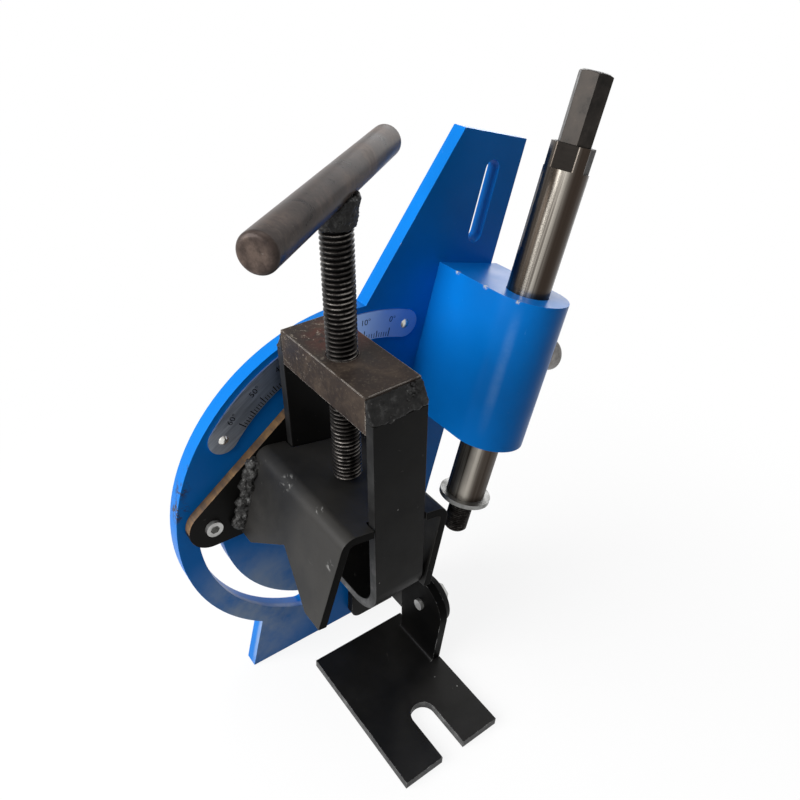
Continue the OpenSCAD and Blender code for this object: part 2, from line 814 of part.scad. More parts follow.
// Loose washer between the arbor's end and the stud's collar
module thrust_washer() {
  color(zinc) at_arbor() translate([0, 0, washer_high - washer_t]) difference() {
    cylinder(d = washer_d, h = washer_t);
    translate([0, 0, -cut]) cylinder(d = stud_d + 2 * bolt_gap, h = washer_t + 2 * cut);
  }
}

// Ground arbor with four wrench flats and sockets for the drive and the stud
module arbor_shaft() {
  color(steel) at_arbor() difference() {
    translate([0, 0, arbor_low]) cylinder(r = arbor_r, h = arbor_len);
    translate([0, 0, arbor_low - cut]) cylinder(d = stud_d, h = stud_tenon + cut);
    translate([0, 0, arbor_high - hex_tenon]) cylinder(d = hex_tenon_d, h = hex_tenon + cut);
    for (turn = [0 : 90 : 270]) rotate([0, 0, flat_turn + turn])
      translate([flat_w / 2, -arbor_d, arbor_high - flat_len])
        cube([arbor_d, 2 * arbor_d, flat_len + cut]);
  }
}

// Hexagon that a drill chuck grips, chamfered at its top
module drive_hex() {
  corner = hex_w / cos(30) / 2;
  color(black) at_arbor() {
    translate([0, 0, arbor_high - hex_tenon]) cylinder(d = hex_tenon_d, h = hex_tenon);
    translate([0, 0, arbor_high]) intersection() {
      rotate([0, 0, hex_turn]) cylinder(r = corner, h = hex_len, $fn = 6);
      rotate_extrude() polygon([[0, 0], [corner, 0], [corner, hex_len - hex_chamfer],
        [corner - 2 * hex_chamfer, hex_len], [0, hex_len]]);
    }
  }
}

// Stud that takes the hole saw, with the collar that keeps the washer
module saw_stud() {
  point = 1.5;
  r = stud_d / 2;
  low = stud_top - stud_collar_t - stud_len;
  color(black) at_arbor() {
    translate([0, 0, low + point]) cylinder(r = r, h = arbor_low + stud_tenon - low - point);
    translate([0, 0, low]) cylinder(r1 = r - point, r2 = r, h = point);
    translate([0, 0, stud_top - stud_collar_t]) cylinder(d = stud_collar_d, h = stud_collar_t);
  }
}

bench_foot();
swivel_bolt();
swivel_washer();
swivel_lug();
pivot_plate();
pivot_screw();
pivot_washer();
pivot_nut();
lock_stud();
lock_washer();
lock_nut();
v_saddle();
saddle_welds();
yoke_strap();
yoke_nut_block();
yoke_welds();
clamp_screw();
t_handle();
handle_weld();
angle_plate();
angle_scale();
scale_rivets();
bearing_block();
upper_bush();
lower_bush();
block_bolts();
block_washers();
grease_cup();
thrust_washer();
arbor_shaft();
drive_hex();
saw_stud();
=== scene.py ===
import math

import bmesh
import bpy
from mathutils import Matrix, Vector, noise


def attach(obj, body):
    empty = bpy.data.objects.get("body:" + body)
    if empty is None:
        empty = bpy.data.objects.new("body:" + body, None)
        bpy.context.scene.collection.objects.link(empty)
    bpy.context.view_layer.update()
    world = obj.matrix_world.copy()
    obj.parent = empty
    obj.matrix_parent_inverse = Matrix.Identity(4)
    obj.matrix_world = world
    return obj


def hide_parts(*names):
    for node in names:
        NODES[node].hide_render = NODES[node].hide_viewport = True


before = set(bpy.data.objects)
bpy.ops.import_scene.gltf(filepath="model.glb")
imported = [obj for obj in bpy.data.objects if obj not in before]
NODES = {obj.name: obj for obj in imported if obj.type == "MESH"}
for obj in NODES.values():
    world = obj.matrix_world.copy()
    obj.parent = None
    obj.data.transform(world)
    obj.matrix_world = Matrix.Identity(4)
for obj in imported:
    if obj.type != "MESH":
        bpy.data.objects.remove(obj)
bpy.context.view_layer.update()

MM = 0.001

# Places shared with the CAD model, in millimetres
PIVOT = Vector((10.5, 79.0, 138.0))
TILT = math.radians(12.5)
SADDLE_TILT = math.radians(9.0)
SADDLE_FLARE = math.radians(7.0)
YOKE_LEAN = math.radians(3.0)
AXIS_OFF = 51.5
SCREW_LEFT = 39.5
SADDLE_LEFT = 37.5
SADDLE_TOP = 51.0
ROOF_Z = SADDLE_TOP + (SCREW_LEFT - SADDLE_LEFT) * math.tan(SADDLE_TILT)
ARBOR_U = 53.5
FLAT_LOW = 218.0
ARC_SLOT_R = 103
BLOCK_MIDDLE = 104
AT_PIVOT = Matrix.Scale(MM, 4) @ Matrix.Translation(PIVOT)
AT_PLATE = AT_PIVOT @ Matrix.Rotation(TILT, 4, "Y")
AT_SADDLE = (AT_PIVOT @ Matrix.Translation((-SADDLE_LEFT, 0, SADDLE_TOP))
             @ Matrix.Rotation(SADDLE_TILT, 4, "Y"))
AT_SCREW = (AT_PIVOT @ Matrix.Translation((-SCREW_LEFT, -AXIS_OFF, ROOF_Z))
            @ Matrix.Rotation(-YOKE_LEAN, 4, "Y"))
AT_ARBOR = AT_PLATE @ Matrix.Translation((ARBOR_U, -AXIS_OFF, 0))

# Places of single marks in the photo, in millimetres, with their sizes where they differ
HAZE_AT = (-74, 79, 52)
KNOCKS = ((70.4, 62, 276.3), (70.4, 38, 276.3), (73.6, 15, 275.6))
NICKS = (((-111, 80, 164), 3, 11), ((-107, 80, 178), 1, 9), ((-103, 80, 191), 1, 6))
SADDLE_MARKS = (((-60, 40, 190.5), 6), ((-58, 10, 192.5), 3), ((-64.8, -12, 176), 4))
RUST_AT = (-24, 44, 269)
BLOCK_SCUFF_AT = (-46, 52, 268)
# Place of the painted reflection of the blue plate on the scale
BLUE_REFLECTION_AT = (20, 78, 250)

# Depths in metres over which the blue plate's front marks fade out and its back marks begin
FRONT_FADE = (0.084, 0.081)
BACK_FADE = (0.0885, 0.0889)

# Directions across the shaft, divided by its radius, of its painted highlight and of its painted dark
# reflection
HIGHLIGHT_WAY = (-0.0603, -0.0506)
DARK_REFLECTION_WAY = (0.012, -0.078)


# Materials

class Graph:
    """A procedural material with short calls for the nodes that it uses."""

    def __init__(self, name):
        self.material = bpy.data.materials.new(name)
        self.material.use_nodes = True
        self.tree = self.material.node_tree
        self.tree.nodes.clear()
        self.shader = self.node("ShaderNodeBsdfPrincipled")
        out = self.node("ShaderNodeOutputMaterial")
        self.tree.links.new(self.shader.outputs[0], out.inputs[0])
        self.place = self.node("ShaderNodeTexCoord").outputs["Object"]

    def node(self, kind, **values):
        """A node with links or constants on its inputs."""
        n = self.tree.nodes.new(kind)
        for key, value in values.items():
            self.put(n.inputs[key.replace("_", " ")], value)
        return n

    def put(self, socket, value):
        if isinstance(value, bpy.types.NodeSocket):
            self.tree.links.new(value, socket)
        else:
            socket.default_value = value

    def set(self, **values):
        """Links or constants for the inputs of the material's shader."""
        for key, value in values.items():
            self.put(self.shader.inputs[key.replace("_", " ")], value)

    def mapped(self, stretch=(1, 1, 1), turn=(0, 0, 0), place=None):
        """Turns the place first and then stretches it."""
        m = self.node("ShaderNodeMapping", Vector=place or self.place)
        m.inputs["Rotation"].default_value = turn
        n = self.node("ShaderNodeMapping", Vector=m.outputs[0])
        n.inputs["Scale"].default_value = stretch
        return n.outputs[0]

    def local(self, at):
        """Place in the millimetres of a frame such as AT_ARBOR."""
        back = at.inverted()
        m = self.node("ShaderNodeMapping", Vector=self.place)
        m.inputs["Location"].default_value = back.translation
        m.inputs["Rotation"].default_value = back.to_euler()
        m.inputs["Scale"].default_value = back.to_scale()
        return m.outputs[0]

    def axes(self, place):
        """The three numbers of a place."""
        return self.node("ShaderNodeSeparateXYZ", Vector=place).outputs

    def from_axis(self, place):
        """Distance from the local z axis."""
        x, y, _ = self.axes(place)
        squares = self.plus(self.times(x, x), self.times(y, y))
        return self.calc("SQRT", squares)

    def noise(self, scale, detail=3.0, rough=0.55, place=None, distort=0.0):
        n = self.node("ShaderNodeTexNoise", Vector=place or self.place, Scale=scale,
                      Detail=detail, Roughness=rough, Distortion=distort)
        return n.outputs[0]

    def cells(self, scale):
        """Distance to the nearest of many scattered points."""
        n = self.node("ShaderNodeTexVoronoi", Vector=self.place, Scale=scale)
        n.feature = "F1"
        return n.outputs["Distance"]

    def band(self, value, low, high, to_low=0.0, to_high=1.0):
        """Smooth step between two limits. It falls where the first limit is the higher one."""
        n = self.node("ShaderNodeMapRange")
        n.interpolation_type = "SMOOTHSTEP"
        for key, v in (("Value", value), ("From Min", low), ("From Max", high),
                       ("To Min", to_low), ("To Max", to_high)):
            self.put(n.inputs[key], v)
        return n.outputs[0]

    def calc(self, op, a, b=0.0):
        n = self.node("ShaderNodeMath")
        n.operation = op
        self.put(n.inputs[0], a)
        self.put(n.inputs[1], b)
        return n.outputs[0]

    def times(self, a, b):
        return self.calc("MULTIPLY", a, b)

    def plus(self, a, b):
        return self.calc("ADD", a, b)

    def minus(self, a, b):
        return self.calc("SUBTRACT", a, b)

    def most(self, a, b):
        return self.calc("MAXIMUM", a, b)

    def mix(self, fac, a, b):
        """Colour a where the share is 0 and colour b where it is 1."""
        n = self.node("ShaderNodeMix")
        n.data_type = "RGBA"
        self.put(n.inputs[0], fac)
        self.put(n.inputs[6], a)
        self.put(n.inputs[7], b)
        return n.outputs[2]

    def ramp(self, value, *stops):
        """Colours along a value, each stop being a position and a colour."""
        n = self.node("ShaderNodeValToRGB", Fac=value)
        points = n.color_ramp.elements
        while len(points) < len(stops):
            points.new(0.5)
        for e, (at, colour) in zip(points, stops):
            e.position = at
            e.color = (*colour, 1)
        return n.outputs[0]

    def edge(self, radius, low=0.04, high=0.22):
        """1 along sharp edges, 0 on flat faces, from the rounded and the true normal."""
        round_n = self.node("ShaderNodeBevel", Radius=radius * MM)
        round_n.samples = 6
        true_n = self.node("ShaderNodeNewGeometry")
        dot = self.node("ShaderNodeVectorMath")
        dot.operation = "DOT_PRODUCT"
        self.put(dot.inputs[0], round_n.outputs[0])
        self.put(dot.inputs[1], true_n.outputs["Normal"])
        return self.band(self.minus(1.0, dot.outputs["Value"]), low, high)

    def near(self, point, inner, outer):
        """1 inside a ball about a point given in millimetres, 0 outside it."""
        d = self.node("ShaderNodeVectorMath")
        d.operation = "DISTANCE"
        self.put(d.inputs[0], self.place)
        d.inputs[1].default_value = [c * MM for c in point]
        return self.band(d.outputs["Value"], inner * MM, outer * MM, 1.0, 0.0)

    def bump(self, height, strength, depth, under=None):
        """Normal for a height pattern of a depth in millimetres, on top of another bump."""
        n = self.node("ShaderNodeBump", Strength=strength, Distance=depth * MM, Height=height)
        if under:
            self.put(n.inputs["Normal"], under)
        return n.outputs[0]


def rgb(r, g, b):
    """A colour with full cover."""
    return (r, g, b, 1.0)


def blue_paint():
    """Blue enamel with a pale haze low in front, a rubbed track behind, chips and dark nicks, a
    painted highlight on the block's nose, and edges lighter from thin paint and a painted highlight.
    """
    g = Graph("blue_paint")
    tone = g.mix(g.band(g.noise(14, 4), 0.3, 0.7), rgb(0.0006, 0.152, 0.54), rgb(0.001, 0.180, 0.63))
    depth = g.axes(g.place)[1]

    haze = g.times(g.near(HAZE_AT, 20, 78), g.band(g.noise(24, 5, 0.65), 0.2, 0.7))
    haze = g.times(haze, g.band(depth, *FRONT_FADE))
    tone = g.mix(g.times(haze, 0.85), tone, rgb(0.40, 0.49, 0.60))

    px, _, pz = g.axes(g.local(AT_PIVOT))
    reach = g.calc("SQRT", g.plus(g.times(px, px), g.times(pz, pz)))
    track = g.band(g.calc("ABSOLUTE", g.minus(reach, ARC_SLOT_R)), 13.5, 12.0)
    track = g.times(g.times(track, g.band(depth, *BACK_FADE)), g.band(pz, 14, 8))
    track = g.times(g.times(track, g.band(px, -18, -30)), g.band(g.noise(130, 5, 0.7), 0.42, 0.58))
    tone = g.mix(g.times(track, 0.45), tone, rgb(0.20, 0.27, 0.36))

    dust = g.band(g.noise(520, 2), 0.68, 0.76)
    tone = g.mix(g.times(dust, 0.14), tone, rgb(0.10, 0.32, 0.75))

    # Painted highlight: a pale band where the block's flat side runs into its round nose
    x, y, z = g.axes(g.local(AT_ARBOR))
    nose_highlight = g.times(g.band(g.calc("ABSOLUTE", g.plus(x, 20.5)), 2.6, 0.2), g.band(y, -8, -12))
    nose_highlight = g.times(nose_highlight, g.band(g.calc("ABSOLUTE", g.minus(z, BLOCK_MIDDLE)), 46, 14))
    nose_highlight = g.times(nose_highlight, g.band(g.noise(60, 4, 0.7), 0.25, 0.65, 0.4, 1.0))
    tone = g.mix(g.times(nose_highlight, 0.22), tone, rgb(0.24, 0.46, 0.80))

    edges = g.edge(0.9)
    # Lighter blue along the edges: partly thin paint, partly a painted highlight
    tone = g.mix(g.times(edges, 0.30), tone, rgb(0.04, 0.32, 0.90))
    chips = g.times(edges, g.band(g.noise(210, 5, 0.7), 0.66, 0.70))
    for knock in KNOCKS:
        chip = g.times(g.near(knock, 0.6, 2.4), g.band(g.noise(520, 4), 0.44, 0.52))
        chips = g.most(chips, chip)
    tone = g.mix(chips, tone, rgb(0.55, 0.56, 0.56))

    nick = 0.0
    for place, inner, outer in NICKS:
        nick = g.most(nick, g.near(place, inner, outer))
    nick = g.times(nick, g.band(g.noise(260, 5, 0.7), 0.52, 0.56))
    tone = g.mix(nick, tone, rgb(0.040, 0.028, 0.020))

    rough = g.band(g.noise(45, 4), 0.2, 0.8, 0.27, 0.40)
    g.set(Base_Color=tone, Roughness=rough, Specular_IOR_Level=0.09)
    peel = g.bump(g.noise(420, 2), 0.10, 0.12)
    g.set(Normal=g.bump(g.minus(1.0, g.most(chips, nick)), 0.5, 0.15, peel))
    return g.material


def black_paint(name="black_paint", wear=0.62, grey=0.006, edge_grey=0.12, gloss=0.06, marks=(),
                rough=0.34):
    """Black paint with scuffs, specks and worn edges. A smaller wear bares more of the edges, and
    marks are bright star-like scratches with their sizes."""
    g = Graph(name)
    tone = g.mix(g.band(g.noise(22, 5, 0.6), 0.3, 0.7), rgb(grey * 0.6, grey * 0.6, grey * 0.62),
                 rgb(grey * 1.5, grey * 1.42, grey * 1.3))
    scuff_place = g.mapped((1, 0.16, 1), (0.4, 0.3, 0.5))
    scuff = g.times(g.band(g.noise(260, 4, 0.65, scuff_place), 0.64, 0.74),
                    g.band(g.noise(26, 2), 0.52, 0.62))
    tone = g.mix(g.times(scuff, 0.4), tone, rgb(0.11, 0.105, 0.10))
    speck = g.band(g.cells(95), 0.060, 0.035)
    speck = g.times(speck, g.band(g.noise(40, 2), 0.56, 0.60))
    for place, size in marks:
        star = g.band(g.noise(380, 4, 0.7, scuff_place), 0.53, 0.58)
        star = g.times(g.near(place, size * 0.3, size), star)
        speck = g.most(speck, star)
    tone = g.mix(g.times(speck, 0.8), tone, rgb(0.27, 0.27, 0.26))
    edges = g.edge(0.8)
    worn = g.times(edges, g.band(g.noise(120, 5, 0.7), wear - 0.10, wear))
    rim = edge_grey * 0.4
    tone = g.mix(g.times(edges, 0.35), tone, rgb(rim, rim, rim))
    tone = g.mix(worn, tone, rgb(edge_grey * 2, edge_grey * 2, edge_grey * 1.95))
    g.set(Base_Color=tone, Roughness=g.band(g.noise(60, 4), 0.2, 0.8, rough, rough + 0.16),
          Specular_IOR_Level=gloss)
    skin = g.bump(g.noise(700, 3), 0.12, 0.10)
    g.set(Normal=g.bump(g.plus(worn, scuff), 0.3, 0.1, skin))
    return g.material


def cut_edge():
    """Flame-cut plate edge with brown scale."""
    g = Graph("cut_edge")
    streak = g.noise(320, 4, 0.6, g.mapped((1, 0.06, 1)))
    patch = g.noise(55, 4, 0.6)
    tone = g.ramp(patch, (0.28, (0.030, 0.020, 0.014)), (0.47, (0.13, 0.070, 0.028)),
                  (0.62, (0.26, 0.150, 0.056)), (0.78, (0.06, 0.038, 0.025)))
    tone = g.mix(g.band(streak, 0.45, 0.7, 0.0, 0.7), tone, rgb(0.035, 0.026, 0.02))
    g.set(Base_Color=tone, Roughness=0.62, Metallic=0.15, Normal=g.bump(streak, 0.5, 0.2))
    return g.material


def bare_edge():
    """Sheared steel edge with thin paint left on it, nearly black high up by painted shade, and
    lighter along its edges, partly wear and partly a painted highlight.
    """
    g = Graph("bare_edge")
    patch = g.noise(85, 5, 0.65)
    streak = g.noise(420, 3, 0.6, g.mapped((1, 1, 0.1)))
    tone = g.ramp(patch, (0.30, (0.016, 0.016, 0.017)), (0.50, (0.055, 0.055, 0.055)),
                  (0.70, (0.15, 0.15, 0.148)))
    tone = g.mix(g.band(streak, 0.5, 0.75, 0.0, 0.5), tone, rgb(0.02, 0.02, 0.02))
    # Painted shade: nearly black above 150 mm
    height = g.axes(g.place)[2]
    tone = g.mix(g.band(height, 0.150, 0.175, 0.0, 0.85), tone, rgb(0.008, 0.008, 0.008))
    # Lighter along the edges: partly wear, partly a painted highlight
    worn = g.times(g.edge(0.7), g.band(patch, 0.40, 0.55, 0.45, 0.9))
    tone = g.mix(worn, tone, rgb(0.26, 0.26, 0.255))
    g.set(Base_Color=tone, Roughness=0.48, Metallic=0.2, Specular_IOR_Level=0.15)
    g.set(Normal=g.bump(streak, 0.35, 0.12))
    return g.material


def handle_iron():
    """Hot-rolled bar, mottled brown."""
    g = Graph("handle_iron")
    patch = g.noise(52, 7, 0.68, distort=0.5)
    tone = g.ramp(patch, (0.32, (0.014, 0.010, 0.009)), (0.44, (0.042, 0.030, 0.026)),
                  (0.52, (0.064, 0.047, 0.040)), (0.62, (0.120, 0.088, 0.072)),
                  (0.76, (0.034, 0.025, 0.022)))
    grain = g.noise(300, 5, 0.7)
    tone = g.mix(g.band(grain, 0.50, 0.72, 0.0, 0.55), tone, rgb(0.024, 0.018, 0.016))
    fleck = g.band(g.noise(360, 3, 0.6), 0.68, 0.76)
    tone = g.mix(g.times(fleck, 0.5), tone, rgb(0.20, 0.17, 0.15))
    edges = g.edge(0.7)
    tone = g.mix(g.times(edges, 0.5), tone, rgb(0.22, 0.20, 0.19))
    rough = g.band(patch, 0.3, 0.7, 0.26, 0.44)
    g.set(Base_Color=tone, Metallic=0.2, Roughness=rough, Specular_IOR_Level=0.14)
    g.set(Normal=g.bump(g.plus(grain, patch), 0.30, 0.14))
    return g.material


def block_iron():
    """Raw brown-black bar with rust beside the screw, scuffs and bright edges."""
    g = Graph("block_iron")
    patch = g.noise(46, 6, 0.64, distort=0.3)
    tone = g.ramp(patch, (0.30, (0.012, 0.009, 0.008)), (0.50, (0.030, 0.022, 0.018)),
                  (0.66, (0.066, 0.049, 0.037)), (0.80, (0.024, 0.018, 0.015)))
    grain = g.band(g.noise(520, 4, 0.7), 0.52, 0.70)
    tone = g.mix(g.times(grain, 0.45), tone, rgb(0.10, 0.078, 0.058))
    rust = g.times(g.near(RUST_AT, 6, 26), g.band(g.noise(90, 5, 0.7), 0.42, 0.60))
    tone = g.mix(g.times(rust, 0.7), tone, rgb(0.080, 0.022, 0.014))
    scuff = g.times(g.band(g.noise(300, 5, 0.7), 0.57, 0.66), g.near(BLOCK_SCUFF_AT, 8, 34))
    tone = g.mix(g.times(scuff, 0.8), tone, rgb(0.30, 0.26, 0.21))
    edges = g.edge(1.1, 0.02, 0.12)
    worn = g.times(edges, g.band(g.noise(150, 4, 0.65), 0.36, 0.50))
    tone = g.mix(g.times(worn, 0.9), tone, rgb(0.46, 0.43, 0.39))
    rough = g.band(patch, 0.3, 0.7, 0.46, 0.66)
    g.set(Base_Color=tone, Metallic=0.15, Roughness=rough, Specular_IOR_Level=0.10)
    g.set(Normal=g.bump(g.noise(420, 5), 0.35, 0.2))
    return g.material


def weld_metal(name="weld_metal", light=1.0):
    """Grey weld with bright flecks."""
    g = Graph(name)
    patch = g.noise(240, 5, 0.65)
    dark = 0.012 * light
    mid = 0.040 * light
    pale = 0.14 * light
    tone = g.ramp(patch, (0.32, (dark, dark, dark)), (0.54, (mid, mid * 0.97, mid * 0.94)),
                  (0.72, (pale, pale, pale * 0.98)))
    fleck = g.band(g.noise(620, 3, 0.6), 0.66, 0.72)
    tone = g.mix(g.times(fleck, 0.55 * light), tone, rgb(0.42, 0.42, 0.40))
    rough = g.band(patch, 0.3, 0.7, 0.34, 0.6)
    g.set(Base_Color=tone, Metallic=0.3, Roughness=rough, Specular_IOR_Level=0.2)
    g.set(Normal=g.bump(g.noise(900, 4), 0.5, 0.25))
    return g.material


def black_oxide():
    """Blued steel, lighter along its edges, partly wear and partly a painted highlight."""
    g = Graph("black_oxide")
    patch = g.noise(120, 5, 0.6)
    tone = g.ramp(patch, (0.3, (0.010, 0.009, 0.008)), (0.6, (0.028, 0.024, 0.021)),
                  (0.8, (0.062, 0.052, 0.044)))
    # Lighter along the edges: partly wear, partly a painted highlight
    worn = g.times(g.edge(0.5), g.band(g.noise(300, 4, 0.7), 0.45, 0.6))
    tone = g.mix(worn, tone, rgb(0.30, 0.28, 0.26))
    rough = g.band(patch, 0.3, 0.75, 0.26, 0.44)
    g.set(Base_Color=tone, Metallic=0.6, Roughness=rough, Specular_IOR_Level=0.15)
    g.set(Normal=g.bump(g.noise(900, 3), 0.12, 0.08))
    return g.material


def screw_steel():
    """Oiled black thread, with painted shade in its grooves and bright crests, partly wear and partly
    a painted glint.
    """
    g = Graph("screw_steel")
    place = g.local(AT_SCREW)
    patch = g.noise(120, 5, 0.6)
    tone = g.ramp(patch, (0.3, (0.006, 0.005, 0.005)), (0.6, (0.016, 0.014, 0.013)),
                  (0.8, (0.034, 0.030, 0.027)))
    reach = g.from_axis(place)
    # Painted shade in the grooves of the thread
    tone = g.mix(g.band(reach, 7.3, 6.6, 0.0, 0.85), tone, rgb(0.002, 0.002, 0.002))
    # Bright crests: partly wear, partly a painted glint
    crest = g.band(reach, 7.45, 7.88)
    worn = g.times(crest, g.band(g.noise(85, 4, 0.65), 0.48, 0.64, 0.08, 1.0))
    tone = g.mix(worn, tone, rgb(0.20, 0.185, 0.17))
    rough = g.band(patch, 0.3, 0.75, 0.20, 0.34)
    g.set(Base_Color=tone, Metallic=0.6, Roughness=rough, Specular_IOR_Level=0.12)
    g.set(Normal=g.bump(g.noise(900, 3), 0.15, 0.08))
    return g.material


def ground_steel():
    """Ground shaft: fine rings round it, dark and bright streaks along it, brown stains and milled
    flats. A painted highlight runs along one line and a painted dark reflection along another,
    and it is greyer below the block."""
    g = Graph("ground_steel")
    place = g.local(AT_ARBOR)
    x, y, z = g.axes(place)
    rings = g.noise(2.6, 3, 0.5, g.mapped((0.03, 0.03, 1), place=place))
    broad = g.noise(0.115, 2, 0.5, g.mapped((1, 1, 0.01), place=place))
    fine = g.noise(0.42, 4, 0.6, g.mapped((1, 1, 0.02), place=place))
    stain = g.noise(0.05, 5, 0.65, g.mapped((1, 1, 0.4), place=place))
    # Painted highlight along one line of the shaft, painted dark reflection along another
    painted_highlight = g.plus(g.times(x, HIGHLIGHT_WAY[0]), g.times(y, HIGHLIGHT_WAY[1]))
    painted_highlight = g.band(painted_highlight, 0.91, 0.995)
    painted_dark_reflection = g.plus(g.times(x, DARK_REFLECTION_WAY[0]), g.times(y, DARK_REFLECTION_WAY[1]))
    painted_dark_reflection = g.band(painted_dark_reflection, 0.48, 0.78)
    tone = g.ramp(broad, (0.36, (0.030, 0.024, 0.019)), (0.46, (0.085, 0.074, 0.064)),
                  (0.54, (0.17, 0.155, 0.138)), (0.64, (0.045, 0.036, 0.029)))
    low = g.band(z, 52, 46)
    grey = g.times(low, g.band(fine, 0.40, 0.62, 0.6, 0.1))
    tone = g.mix(grey, tone, rgb(0.24, 0.225, 0.20))
    tone = g.mix(g.times(painted_highlight, 0.75), tone, rgb(0.54, 0.50, 0.44))
    tone = g.mix(g.times(painted_dark_reflection, 0.85), tone, rgb(0.036, 0.026, 0.020))
    tone = g.mix(g.band(fine, 0.45, 0.66, 0.0, 0.75), tone, rgb(0.036, 0.027, 0.021))
    tone = g.mix(g.band(stain, 0.58, 0.76, 0.0, 0.5), tone, rgb(0.065, 0.047, 0.034))
    above = g.band(z, FLAT_LOW - 0.1, FLAT_LOW + 0.1)
    milled = g.times(g.band(g.from_axis(place), 12.55, 12.35), above)
    flats = g.mix(g.noise(0.3, 4), rgb(0.009, 0.008, 0.007), rgb(0.022, 0.019, 0.017))
    tone = g.mix(milled, tone, flats)
    rough = g.plus(g.band(rings, 0.3, 0.7, 0.18, 0.27), g.band(stain, 0.5, 0.75, 0.0, 0.14))
    rough = g.plus(rough, g.plus(g.times(milled, 0.35), g.times(low, 0.20)))
    g.set(Base_Color=tone, Metallic=1.0, Roughness=rough, Normal=g.bump(rings, 0.10, 0.04))
    return g.material


def bright_steel():
    """Clean polished steel."""
    g = Graph("bright_steel")
    patch = g.noise(160, 4, 0.6)
    tone = g.mix(g.band(patch, 0.35, 0.7), rgb(0.66, 0.65, 0.62), rgb(0.45, 0.43, 0.40))
    g.set(Base_Color=tone, Metallic=1.0, Roughness=g.band(patch, 0.3, 0.7, 0.20, 0.38))
    g.set(Normal=g.bump(g.noise(1200, 3), 0.12, 0.05))
    return g.material


def cup_steel():
    """Dull grey cast cap."""
    g = Graph("cup_steel")
    patch = g.noise(200, 5, 0.65)
    tone = g.ramp(patch, (0.3, (0.10, 0.095, 0.09)), (0.55, (0.22, 0.21, 0.20)),
                  (0.75, (0.36, 0.35, 0.34)))
    g.set(Base_Color=tone, Metallic=0.8, Roughness=g.band(patch, 0.3, 0.7, 0.36, 0.55))
    g.set(Normal=g.bump(g.noise(800, 4), 0.25, 0.1))
    return g.material


def zinc_plate(name, light):
    """Zinc plating with a fine spangle."""
    g = Graph(name)
    pale = rgb(0.60 * light, 0.60 * light, 0.585 * light)
    dark = rgb(0.36 * light, 0.355 * light, 0.335 * light)
    flake = rgb(0.72 * light, 0.72 * light, 0.71 * light)
    spangle = g.cells(330)
    patch = g.noise(130, 5, 0.6)
    tone = g.mix(g.band(patch, 0.35, 0.7), pale, dark)
    tone = g.mix(g.band(spangle, 0.1, 0.6, 0.0, 0.25), tone, flake)
    g.set(Base_Color=tone, Metallic=0.9, Roughness=g.band(patch, 0.3, 0.7, 0.34, 0.52))
    g.set(Normal=g.bump(g.noise(700, 4), 0.2, 0.08))
    return g.material


def scale_metal():
    """Brushed aluminium, with a painted reflection of the blue plate towards its 0 end."""
    g = Graph("scale_metal")
    brushed = g.noise(900, 3, 0.55, g.mapped((0.05, 1, 1), (0, 0.6, 0)))
    patch = g.noise(70, 4)
    tone = g.mix(g.band(brushed, 0.3, 0.7), rgb(0.29, 0.32, 0.38), rgb(0.41, 0.44, 0.50))
    tone = g.mix(g.band(patch, 0.55, 0.75, 0.0, 0.4), tone, rgb(0.26, 0.24, 0.23))
    # Painted reflection of the blue plate towards the 0 end
    tone = g.mix(g.near(BLUE_REFLECTION_AT, 20, 110), tone, rgb(0.26, 0.38, 0.62))
    g.set(Base_Color=tone, Metallic=0.85, Roughness=g.band(brushed, 0.3, 0.7, 0.30, 0.42))
    g.set(Normal=g.bump(brushed, 0.15, 0.03))
    return g.material


def ink():
    """Matt black print."""
    g = Graph("ink")
    tone = g.mix(g.band(g.noise(500, 3), 0.4, 0.7), rgb(0.004, 0.004, 0.006), rgb(0.014, 0.015, 0.02))
    g.set(Base_Color=tone, Roughness=0.6, Specular_IOR_Level=0.02)
    return g.material


def bearing_bronze():
    """Brown-yellow bush metal."""
    g = Graph("bearing_bronze")
    patch = g.noise(150, 4)
    tone = g.mix(g.band(patch, 0.35, 0.7), rgb(0.50, 0.33, 0.13), rgb(0.33, 0.21, 0.09))
    g.set(Base_Color=tone, Metallic=1.0, Roughness=g.band(patch, 0.3, 0.7, 0.28, 0.45))
    g.set(Normal=g.bump(g.noise(900, 3), 0.15, 0.06))
    return g.material


BLUE = blue_paint()
BLACK = black_paint()
SADDLE_BLACK = black_paint("saddle_black", 0.60, 0.016, 0.16, 0.20, SADDLE_MARKS)
FOOT_BLACK = black_paint("foot_black", 0.60, 0.006, 0.16, 0.20, rough=0.26)
# Very dark, hardly glossy black that paints shade
SHADE_BLACK = black_paint("painted_shade_black", 0.60, 0.003, 0.16, 0.02)
LUG_BLACK = black_paint("lug_black", 0.62, 0.008, 0.14, 0.12)
CUT_EDGE = cut_edge()
BARE_EDGE = bare_edge()
HANDLE = handle_iron()
BLOCK = block_iron()
WELD = weld_metal()
DARK_WELD = weld_metal("dark_weld", 0.42)
OXIDE = black_oxide()
SCREW_STEEL = screw_steel()
SHAFT = ground_steel()
BRIGHT = bright_steel()
CUP = cup_steel()
ZINC = zinc_plate("zinc_plate", 0.8)
DULL_ZINC = zinc_plate("dull_zinc", 0.42)
SCALE = scale_metal()
INK = ink()
BRONZE = bearing_bronze()


# Pieces

def add_piece(name, mesh, body, slot, *materials):
    """A piece that rides on a body. Its faces keep their material numbers."""
    o = bpy.data.objects.new(name, mesh)
    bpy.context.scene.collection.objects.link(o)
    faces = [p.material_index for p in mesh.polygons]
    mesh.materials.clear()
    for m in materials:
        mesh.materials.append(m)
    mesh.polygons.foreach_set("material_index", faces)
    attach(o, body)
    return o


def paint_node(node, material):
    """Material for a node that keeps its CAD shape."""
    for s in NODES[node].material_slots:
        s.material = material


def weighted(o):
    """Flat faces stay flat to the eye between rounded edges."""
    m = o.modifiers.new("normals", "WEIGHTED_NORMAL")
    m.keep_sharp = True
    m.weight = 80


